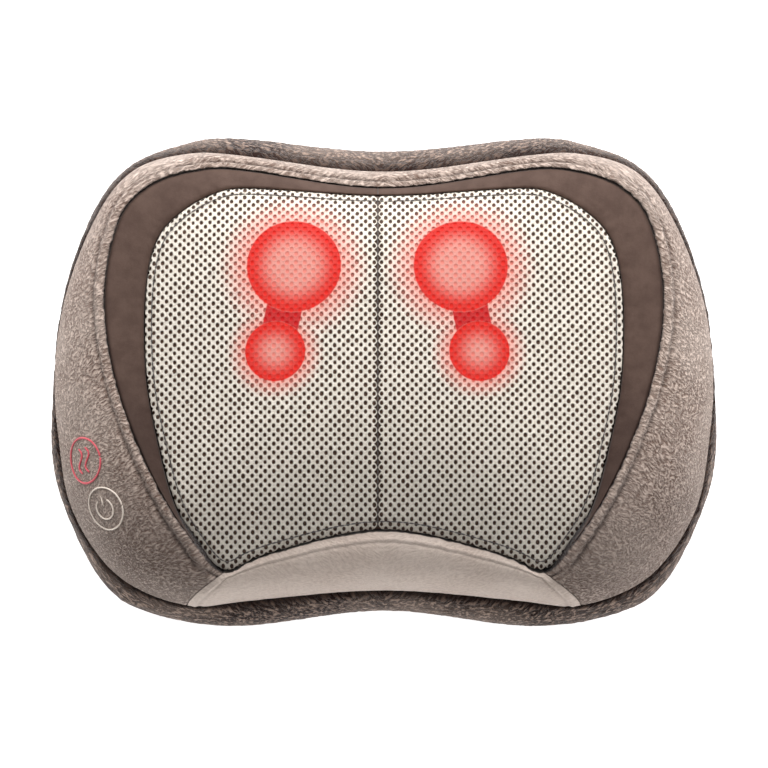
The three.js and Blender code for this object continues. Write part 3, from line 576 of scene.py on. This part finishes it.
def gusset_band():
    """The knitted band between the front plush and the mesh, gathered along the mesh."""
    end = station(BAND_STATION)
    index = np.arange(-end, end + 1) % AROUND
    outer, edge = inset(INNER, -0.1, -1.3), inset(MESH_EDGE, -0.3, -0.7)
    gathers = puckers(ring_distance(MESH_EDGE), 3.4, 71)
    rows = []
    for s in np.linspace(0, 1, 21):
        row = outer + (edge - outer) * s
        row[:, 2] += 1.1 * math.sin(math.pi * s) ** 0.6 - 1.1 * (ridge(s, 0, 0.05) + ridge(s, 1, 0.05))
        row[:, 2] += 0.22 * gathers * ridge(s, 0.85, 0.16)
        rows.append(row[index])
    grid = np.array(rows)
    grid[..., 2] -= 0.9 * ridge(grid[..., 0], MIDDLE_SEAM, 0.6)
    below = [r - [0, 0, 1.6] for r in rows[::-1][::5]]
    piece = strip_mesh("gusset_band_tricot", [*grid, *below], TRICOT)
    # painted shade: the band darker towards its lower ends
    mark_painted_shade(piece, BAND_SHADE * smooth(-grid[..., 1], -10.0, 60.0))
    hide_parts("gusset_band")
    return declare_strip(piece)


def declare_strip(piece):
    """Returns the strip as it is."""
    return piece


# ------------------------------------------------------------------ the spacer-mesh panel


PITCH = 5.06  # between holes in one row
ROW = 2.58  # between rows, which are staggered
HOLE = (1.18, 1.4)  # half width and half height of a hole
HEM = 4.4  # edge to topstitching
STITCH = 3.4  # one topstitch and its gap
FIRST_HOLE = 0.42  # from the middle seam to the first hole, in pitches
LINING_DROP = 1.0  # outer face to lining
LINING_REACH = 0.994  # share of the outline that the lining fills


class Dome:
    """The mesh panel's outer face as a height over the plan, with its outline."""

    def __init__(self, edge):
        rel = edge[:, :2] - CROWN[:2]
        angle = np.arctan2(rel[:, 1], rel[:, 0])
        order = np.argsort(angle)
        self.angle, self.radius = angle[order], np.linalg.norm(rel, axis=1)[order]
        self.z = edge[order, 2]

    def polar(self, xy):
        rel = xy - CROWN[:2]
        angle = np.arctan2(rel[:, 1], rel[:, 0])
        reach = np.interp(angle, self.angle, self.radius, period=2 * math.pi)
        return angle, np.linalg.norm(rel, axis=1), reach

    def height(self, xy):
        angle, r, reach = self.polar(xy)
        share = np.minimum(r / reach, 1.0)
        edge_z = np.interp(angle, self.angle, self.z, period=2 * math.pi)
        return edge_z + (CROWN[2] - edge_z) * (1 - share**CROWN_POWER)

    def inside(self, xy):
        """How far each point is inside the outline, roughly, in mm."""
        _, r, reach = self.polar(xy)
        return reach - r

    def pull_in(self, xy, margin):
        """Points less than a margin inside the outline, or beyond it, moved in to that margin."""
        _, r, reach = self.polar(xy)
        keep = np.minimum(r, reach - margin) / np.maximum(r, 1e-9)
        return CROWN[:2] + (xy - CROWN[:2]) * keep[:, None]

    def sewn_height(self, xy):
        """The height with the dips that the topstitching, the middle seam and the edge seam pull into it."""
        inside = self.inside(xy)
        z = self.height(xy) - 0.5 * ridge(inside, HEM, 0.7)
        z -= 1.0 * ridge(xy[:, 0], MIDDLE_SEAM, 0.9)
        return z - 1.1 * ridge(inside, 0.4, 0.9)


DOME = Dome(MESH_EDGE)


def mesh_cells(side):
    """Middles of the holes of one half, on a staggered grid."""
    r, c = (x.ravel() for x in np.meshgrid(np.arange(-60, 60), np.arange(0, 32), indexing="ij"))
    x = (c + FIRST_HOLE + 0.5 * (r % 2)) * PITCH
    middles = np.stack([MIDDLE_SEAM + side * x, r * ROW + CROWN[1]], 1)
    return middles[DOME.inside(middles) > -0.9]


def mesh_half(name, side, material):
    """A knitted face with real holes: each cell is a diamond of eight points, raised round its hole."""
    middles = mesh_cells(side)
    count = len(middles)
    half_x, half_y = PITCH / 2, ROW
    diamond = np.array([(half_x, 0), (half_x / 2, half_y / 2), (0, half_y), (-half_x / 2, half_y / 2),
                        (-half_x, 0), (-half_x / 2, -half_y / 2), (0, -half_y), (half_x / 2, -half_y / 2)])
    turn = np.arange(8) * math.pi / 4
    hole = np.stack([np.cos(turn), np.sin(turn)], 1) * HOLE
    loops = [(diamond, -0.15, 0), (hole * [1.38, 1.3], 0.3, 1), (hole, -0.1, 1), (hole * 0.94, -0.9, 1)]
    rng = np.random.default_rng(7 + side)
    jitter = rng.normal(0, 0.07, (count, 2))
    size = 1 + rng.normal(0, 0.05, count)
    layers = []
    for shape, lift, loose in loops:
        xy = middles[:, None, :] + shape[None] * (size[:, None, None] if loose else 1)
        xy = xy + (jitter[:, None, :] if loose else 0)
        xy = xy.reshape(-1, 2)
        xy[:, 0] = MIDDLE_SEAM + side * np.maximum(side * (xy[:, 0] - MIDDLE_SEAM), 0.25)
        xy = DOME.pull_in(xy, 0.4)
        layers.append(np.column_stack([xy, DOME.sewn_height(xy) + lift]).reshape(count, 8, 3))
    points = np.stack(layers, 1).reshape(-1, 3)
    k = np.arange(8)
    after = (k + 1) % 8
    walls = [8 * level + np.stack([k, after, 8 + after, 8 + k], 1) for level in range(len(loops) - 1)]
    base = (np.arange(count) * 8 * len(loops))[:, None, None]
    faces = (np.concatenate(walls)[None] + base).reshape(-1, 4)
    piece = make_mesh(name, points, faces, material)
    weld(piece)
    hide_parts(name.removesuffix("_knit"))
    return piece


def mesh_lining():
    """The knitted back face of the spacer mesh, seen at the bottom of its holes."""
    edge = MESH_EDGE[::4, :2]
    rows = []
    for share in np.linspace(0.01, 1, 60):
        xy = CROWN[:2] + (edge - CROWN[:2]) * LINING_REACH * share
        rows.append(np.column_stack([xy, DOME.sewn_height(xy) - LINING_DROP]))
    grid = np.array(rows)
    faces = grid_faces(len(rows), len(edge), wrap_columns=True)
    piece = make_mesh("spacer_mesh_lining", grid.reshape(-1, 3), faces, LINING)
    return piece


def weld(piece, distance=0.02 * MM):
    """Joins the edges of neighbouring cells."""
    bm = bmesh.new()
    bm.from_mesh(piece.data)
    bmesh.ops.remove_doubles(bm, verts=bm.verts, dist=distance)
    bmesh.ops.dissolve_degenerate(bm, edges=bm.edges, dist=distance)
    bm.to_mesh(piece.data)
    bm.free()
    piece.data.polygons.foreach_set("use_smooth", [True] * len(piece.data.polygons))


def thread_runs(name, paths, width, height, material):
    """Threads as low rounded ribs along paths, each a (points, normals) pair of (n, 3) arrays in mm."""
    points, faces = [], []
    turn = np.arange(6) * math.pi / 3
    for path, normal in paths:
        along = np.gradient(path, axis=0)
        across = np.cross(normal, along)
        across /= np.linalg.norm(across, axis=1)[:, None]
        taper = np.ones(len(path))
        taper[0] = taper[-1] = 0.35
        ring_points = []
        for t in turn:
            out = across * width * math.cos(t) + normal * height * math.sin(t)
            ring_points.append(path + out / 2 * taper[:, None])
        grid = np.stack(ring_points, 1)
        base, rows = sum(map(len, points)), len(path)
        faces += (grid_faces(rows, 6, wrap_columns=True) + base).tolist()
        faces.append([base + k for k in range(5, -1, -1)])
        faces.append([base + (rows - 1) * 6 + k for k in range(6)])
        points.append(grid.reshape(-1, 3))
    return make_mesh(name, np.vstack(points), faces, material)


def topstitching():
    """One row of dark stitches just inside the mesh outline."""
    line = inset(MESH_EDGE, HEM)
    reach = ring_distance(line)
    count = int(reach[-1] / STITCH)
    bow = np.array([0.5, 0.75, 0.75, 0.5])
    paths = []
    for i in range(count):
        s = (i + np.linspace(0.0, 0.98, 4)) * reach[-1] / count
        xy = np.stack([np.interp(s, reach, line[:, k]) for k in (0, 1)], 1)
        paths.append((np.column_stack([xy, DOME.height(xy) + bow]), np.tile([0.0, 0.0, 1.0], (4, 1))))
    return thread_runs("mesh_topstitching", paths, 0.85, 0.6, DARK_THREAD)


def middle_seam():
    """The thread that closes the seam between the mesh halves and runs on across the band above them."""
    y = np.linspace(MESH_EDGE[station(STATIONS // 2), 1] + 1.5, MESH_EDGE[0, 1] - 0.8, 240)
    panel = np.column_stack([np.full(len(y), MIDDLE_SEAM), y])
    panel = np.column_stack([panel, DOME.height(panel) + 0.1])
    share = np.linspace(0.06, 0.94, 8)[:, None]
    band = MESH_EDGE[0] + (INNER[0] - MESH_EDGE[0]) * share + [0, 0, 0.5]
    band[:, 0] = MIDDLE_SEAM
    paths = [(path, np.tile([0.0, 0.0, 1.0], (len(path), 1))) for path in (panel, band)]
    return thread_runs("middle_seam_thread", paths, 0.5, 0.4, DARK_THREAD)


# ------------------------------------------------------------------ embroidered key marks


def sewn_on(piece, name, centre, normal, strokes, width, material):
    """Satin-stitched strokes, each a list of (right, up) points, dropped along -normal onto a plush piece."""
    bm = bmesh.new()
    bm.from_mesh(piece.data)
    tree = BVHTree.FromBMesh(bm)
    bm.free()
    out = Vector(normal).normalized()
    up = (Vector((-0.1, 1, 0)) - out * out.dot(Vector((-0.1, 1, 0)))).normalized()
    right = up.cross(out)
    paths = []
    for stroke in strokes:
        points = []
        for u, v in stroke:
            start = (Vector(centre) + right * u + up * v + out * 20) * MM
            hit = tree.ray_cast(start, -out)[0]
            points.append(np.array(hit) / MM + np.array(out) * 0.25)
        points = np.array(points)
        for _ in range(3):  # the padding under the stitches bridges the pile
            points[1:-1] = (points[:-2] + points[1:-1] * 2 + points[2:]) / 4
        paths.append((points, np.tile(np.array(out), (len(points), 1))))
    return thread_runs(name, paths, width, 1.1, material)


def arc(radius, start, end, count):
    """Points of an arc in degrees, 0 to the right and 90 up."""
    turn = np.radians(np.linspace(start, end, count))
    return [(radius * math.cos(t), radius * math.sin(t)) for t in turn]


def wave_stroke(x, length, reach):
    v = np.linspace(-length / 2, length / 2, 24)
    return [(x + reach * math.sin(2 * math.pi * t / length), t) for t in v]


HEAT_AT, HEAT_OUT = (-175.8, -56.6, 96.6), (-0.716, -0.209, 0.666)  # places and the ways they face
POWER_AT, POWER_OUT = (-162.8, -84.9, 96.9), (-0.595, -0.397, 0.699)


def key_marks(plush_piece):
    """A ring with two waves over the heat key, and a ring with the common power sign over the other."""
    heat = [arc(13.4, 0, 358, count=120), wave_stroke(-2.9, 15, 2.4), wave_stroke(3.1, 15, 2.4)]
    sewn_on(plush_piece, "heat_mark", HEAT_AT, HEAT_OUT, heat, 1.3, PINK_THREAD)
    power = [arc(12.9, 0, 358, count=120), arc(6.3, 125, 415, count=60), [(0, 1.5), (0, 4), (0, 8)]]
    sewn_on(plush_piece, "power_mark", POWER_AT, POWER_OUT, power, 0.95, CREAM_THREAD)


# ------------------------------------------------------------------ lit heads, and their glow painted into the cloth over them


ARM_TOP = 64.5
NECK_HALF = 10.5  # half width of the bridge between the two nodes of a head
NECK_MIDDLE = 0.005  # metres from the head's axis towards the small node, to the bridge's middle
NECK_REACH = (0.024, 0.026)  # metres from its middle between which the bridge fades out
NODE_WALL = 3.0
LARGE_NODE = 0.022  # the radius in metres over which a node counts as a large one
LIT_SHIFT = 3.9  # with the heads at rest the lit discs sit this much left of the nodes' own middles


def node_ball(name, body):
    """A smooth elastomer shell in place of the faceted ball. Returns its middle and radius in metres."""
    low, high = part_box(name)
    radius = (high.x - low.x) / 2 / MM
    middle = Vector(((low.x + high.x) / 2, (low.y + high.y) / 2, high.z - radius * MM))
    mouth = math.pi - math.acos(min(1, (middle.z - low.z) / radius / MM))
    outer = [(radius * math.sin(a), radius * math.cos(a)) for a in np.linspace(0.001, mouth, 28)]
    inner = [(r * (1 - NODE_WALL / radius), z * (1 - NODE_WALL / radius)) for r, z in outer[::-1]]
    turn = np.linspace(0, 2 * math.pi, 48, endpoint=False)
    rings = [np.stack([r * np.cos(turn), r * np.sin(turn), np.full(48, z)], 1) for r, z in outer + inner]
    piece = stack_mesh(f"{name}_shell", rings[::-1], NODE_RED, body=None)
    piece.location = middle
    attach(piece, body)
    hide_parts(name)
    return middle, radius * MM


def lit_head(side):
    """A head's node shells and the ring round its lamp, whose own +Y runs to the large node.

    Returns the ring, and the middle, in the ring's own frame, and the radius of each lit disc.
    """
    nodes = [node_ball(f"{size}_node_{side}", f"{size}_ball_{side}") for size in ("large", "small")]
    post_low, post_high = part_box(f"head_post_{side}")
    axis, big = (post_low + post_high) / 2, nodes[0][0]
    turn = np.linspace(0, 2 * math.pi, 40, endpoint=False)
    profile = [(6.6, 0.1), (9.6, 0.1), (9.8, 0.6), (9.2, 1.5), (7.6, 1.9), (6.7, 1.5)]
    grid = np.array([np.stack([r * np.cos(turn), r * np.sin(turn), np.full(40, z)], 1) for r, z in profile])
    faces = grid_faces(len(profile), 40, wrap_columns=True, wrap_rows=True)
    piece = make_mesh(f"hub_collar_{side}", grid.reshape(-1, 3), faces, NODE_RED, body=None)
    place = Vector((axis.x, axis.y, ARM_TOP * MM))
    angle = math.atan2(big.y - axis.y, big.x - axis.x) - math.pi / 2
    piece.location, piece.rotation_euler = place, (0, 0, angle)
    shift, back = Vector((LIT_SHIFT * MM, 0, 0)), Matrix.Rotation(-angle, 3, "Z")
    discs = [(back @ (middle - place - shift), radius) for middle, radius in nodes]
    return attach(piece, f"head_{side}"), discs


def red_elastomer():
    n = Nodes("node_red")
    grain = n.noise(n.place(), 700.0, 2.0)
    tone = n.mix(n.math("MULTIPLY", grain, 0.3), colour(226, 52, 44), colour(240, 96, 84))
    n.set(Base_Color=tone, Roughness=0.38, Normal=n.bump(grain, 0.15, 0.0002))
    n.set(Emission_Color=colour(255, 40, 30), Emission_Strength=0.6)
    return n.set(Subsurface_Weight=0.3, Subsurface_Scale=0.006)


def painted_glow(n, heads):
    """How strongly the lit heads' glow is painted into the cloth: shares of disc, rim, halo and neck, in
    0..1.
    """
    shares = {"disc": 0.0, "rim": 0.0, "halo": 0.0}
    for ring_piece, middle, radius in [(piece, *disc) for piece, discs in heads for disc in discs]:
        at = n.vector("SUBTRACT", n.place(ring_piece), middle)
        reach = n.math("DIVIDE", n.vector("LENGTH", n.vector("MULTIPLY", at, (1, 1, 0))), radius)
        disc = n.ramp(reach, 0.98, 1.02, 1.0, 0.0)
        rim = n.math("MULTIPLY", disc, n.ramp(reach, 0.35 if radius > LARGE_NODE else 0.05, 0.9))
        halo = n.ramp(reach, 0.9, 1.7, 1.0, 0.0)
        here = {"disc": disc, "rim": rim, "halo": halo}
        shares = {k: n.math("MAXIMUM", shares[k], here[k]) for k in shares}
    neck = 0.0
    for ring_piece, _ in heads:
        shifted = n.vector("ADD", n.place(ring_piece), (LIT_SHIFT * MM, 0, 0))
        at = n.node("ShaderNodeSeparateXYZ", {0: shifted})
        across = n.math("ABSOLUTE", at.outputs[0])
        along = n.math("ABSOLUTE", n.math("ADD", at.outputs[1], NECK_MIDDLE))
        here = n.math("MULTIPLY", n.ramp(across, (NECK_HALF - 0.5) * MM, (NECK_HALF + 0.5) * MM, 1.0, 0.0),
                      n.ramp(along, *NECK_REACH, 1.0, 0.0))
        neck = n.math("MAXIMUM", neck, here)
    return shares["disc"], shares["rim"], shares["halo"], neck


def lit_cloth(name, base, shade, heads, faint, seen_light):
    """Cloth over the heads: its own colour, with painted light where the lit nodes lie under it: red colour
    and emission on the discs and the neck, and a pink glow round them.
    """
    n = Nodes(name)
    yarn = n.noise(n.place(), 900.0, 2.0, 0.6)
    tone = n.mix(n.ramp(yarn, 0.3, 0.7), shade, base)
    disc, rim, halo, neck = painted_glow(n, heads)
    red = n.mix(rim, colour(*faint), colour(230, 44, 36))
    red = n.mix(n.math("MULTIPLY", neck, n.math("SUBTRACT", 1.0, disc)), red, colour(208, 30, 34))
    lit = n.math("MAXIMUM", disc, neck)
    # painted glow: a pink tint round the discs, then red colour with emission on the discs and the neck
    tone = n.mix(n.math("MULTIPLY", halo, 0.75), tone, colour(240, 150, 138))
    tone = n.mix(n.math("MULTIPLY", lit, 0.96), tone, n.vector("SCALE", red, 0.5))
    light = n.math("MULTIPLY", n.math("ADD", lit, n.math("MULTIPLY", halo, 0.12)), seen_light)
    n.set(Base_Color=tone, Roughness=0.7, Normal=n.bump(yarn, 0.35, 0.0004))
    n.set(Emission_Color=red, Emission_Strength=light)
    return n.set(Sheen_Weight=0.15, Specular_IOR_Level=0.2)


# ------------------------------------------------------------------ finishes of the CAD parts


def finish_cad_parts():
    """Every CAD node left showing gets the procedural finish of its material slot."""
    finishes = {
        "foam": cell_foam("foam", colour(70, 52, 46), colour(34, 22, 20)),
        "housing_plastic": moulded("housing_plastic", colour(48, 45, 45), 0.55, 1200.0),
        "gear_plastic": moulded("gear_plastic", colour(206, 200, 186), 0.4, 500.0),
        "node_red": NODE_RED,
        "steel": turned_metal("steel", colour(176, 178, 182), 0.3),
        "copper": turned_metal("copper", colour(196, 120, 78), 0.35),
        "bronze": turned_metal("bronze", colour(180, 140, 84), 0.35),
        "key_plastic": moulded("key_plastic", colour(92, 84, 80), 0.5),
        "board": circuit_board("board", colour(22, 74, 46), colour(44, 118, 74)),
        "lens_red": moulded("lens_red", colour(206, 24, 26), 0.12, 400.0, coat=0.6),
        "lead_jacket": moulded("lead_jacket", colour(30, 30, 32), 0.6, 1500.0),
    }
    for part in frame["record"]["subparts"]:
        node = frame["nodes"][part["node"]]
        if part["material_slot"] in finishes:
            node.data.materials.clear()
            node.data.materials.append(finishes[part["material_slot"]])


# ------------------------------------------------------------------ stage


CAMERA_TARGET, CAMERA_DISTANCE = Vector((0, -0.00215, 0.040)), 2.5  # metres
CAMERA_HEIGHT = 81  # degrees above the back's plane
VIEW_WIDTH = 0.462  # metres across the picture at the target
SENSOR = 36
FLOOR_HALF = 6.0  # metres
LIGHTS = {  # place, aim, size in metres, power in watts
    "key": ((0.08, 0.66, 0.68), (0, 0.02, 0.05), 0.6, 7.8),
    "right": ((1.05, 0.22, 0.45), (0.15, 0.0, 0.05), 0.6, 4.5),
    "left": ((-0.95, 0.72, 0.50), (-0.15, 0.1, 0.05), 0.6, 5.8),
}


def set_camera():
    """A long lens, 9 degrees off square from below, with +Y up in the picture."""
    target, distance = CAMERA_TARGET, CAMERA_DISTANCE
    tilt = math.radians(CAMERA_HEIGHT)
    away = Vector((0, -math.cos(tilt), math.sin(tilt)))
    up = Vector((0, math.sin(tilt), math.cos(tilt)))
    right = up.cross(away)
    camera = bpy.data.cameras.new("camera")
    camera.sensor_width = SENSOR
    camera.lens = SENSOR * distance / VIEW_WIDTH
    camera.clip_end = 50
    holder = bpy.data.objects.new("camera", camera)
    turn = Matrix((right, up, away)).transposed().to_4x4()
    holder.matrix_world = Matrix.Translation(target + away * distance) @ turn
    bpy.context.scene.collection.objects.link(holder)
    bpy.context.scene.camera = holder


def area_light(name, place, target, size, power):
    light = bpy.data.lights.new(name, "AREA")
    light.shape, light.size, light.energy = "SQUARE", size, power
    holder = bpy.data.objects.new(name, light)
    holder.location = place
    holder.rotation_euler = (Vector(target) - Vector(place)).to_track_quat("-Z", "Y").to_euler()
    bpy.context.scene.collection.objects.link(holder)


def stage():
    """A white floor that glows, a soft white sky and three area lights."""
    n = Nodes("floor")
    n.set(Base_Color=(0.9, 0.9, 0.9, 1), Roughness=0.8, Emission_Color=(1, 1, 1, 1), Emission_Strength=0.9)
    mesh = bpy.data.meshes.new("floor")
    s = FLOOR_HALF
    mesh.from_pydata([(-s, -s, 0), (s, -s, 0), (s, s, 0), (-s, s, 0)], [], [(0, 1, 2, 3)])
    mesh.materials.append(n.material)
    floor = bpy.data.objects.new("floor", mesh)
    floor.location.z = -0.0002
    bpy.context.scene.collection.objects.link(floor)
    world = bpy.data.worlds.new("studio")
    world.use_nodes = True
    world.node_tree.nodes["Background"].inputs[0].default_value = (1, 1, 1, 1)
    world.node_tree.nodes["Background"].inputs[1].default_value = 0.32
    bpy.context.scene.world = world
    for name, (place, aim, size, power) in LIGHTS.items():
        area_light(name, place, aim, size, power)
    bpy.context.scene.view_settings.view_transform = "Standard"


REAR_PLUSH = plush("rear_plush", colour(50, 34, 29), colour(118, 95, 84), colour(192, 168, 152),
                   REAR_LAY, 0.44, 0.56, 0.0020, 560.0)
FRONT_PLUSH = plush("front_plush", colour(128, 105, 93), colour(198, 176, 163), colour(230, 212, 200),
                    FRONT_LAY, 0.34, 0.60, 0.0013, 780.0)
YOKE_PLUSH = plush("yoke_plush", colour(200, 181, 169), colour(226, 209, 197), colour(240, 226, 215),
                   -FRONT_LAY, 0.25, 0.7, 0.0003, 900.0)
TRICOT = tricot("brown_tricot", colour(84, 65, 57), colour(98, 78, 69))
DARK_THREAD = thread("dark_thread", colour(40, 28, 25))
PINK_THREAD = thread("pink_thread", colour(222, 66, 84))
CREAM_THREAD = thread("cream_thread", colour(240, 226, 212))
NODE_RED = red_elastomer()

set_camera()
stage()
finish_cad_parts()
rear_cover()
FRONT = front_bolster()
lower_yoke()
gusset_band()
key_marks(FRONT)
HEADS = [lit_head(side) for side in ("left", "right")]
# the mesh and its lining both carry the lit heads' glow as painted light
MESH_CLOTH = lit_cloth("spacer_mesh", colour(250, 243, 232), colour(228, 218, 204),
                       HEADS, (240, 164, 152), 0.38)
LINING = lit_cloth("mesh_lining", colour(104, 83, 71), colour(70, 52, 44), HEADS, (232, 144, 132), 0.56)
for half_name, half_side in (("left", -1), ("right", 1)):
    mesh_half(f"mesh_panel_{half_name}_knit", half_side, MESH_CLOTH)
mesh_lining()
topstitching()
middle_seam()
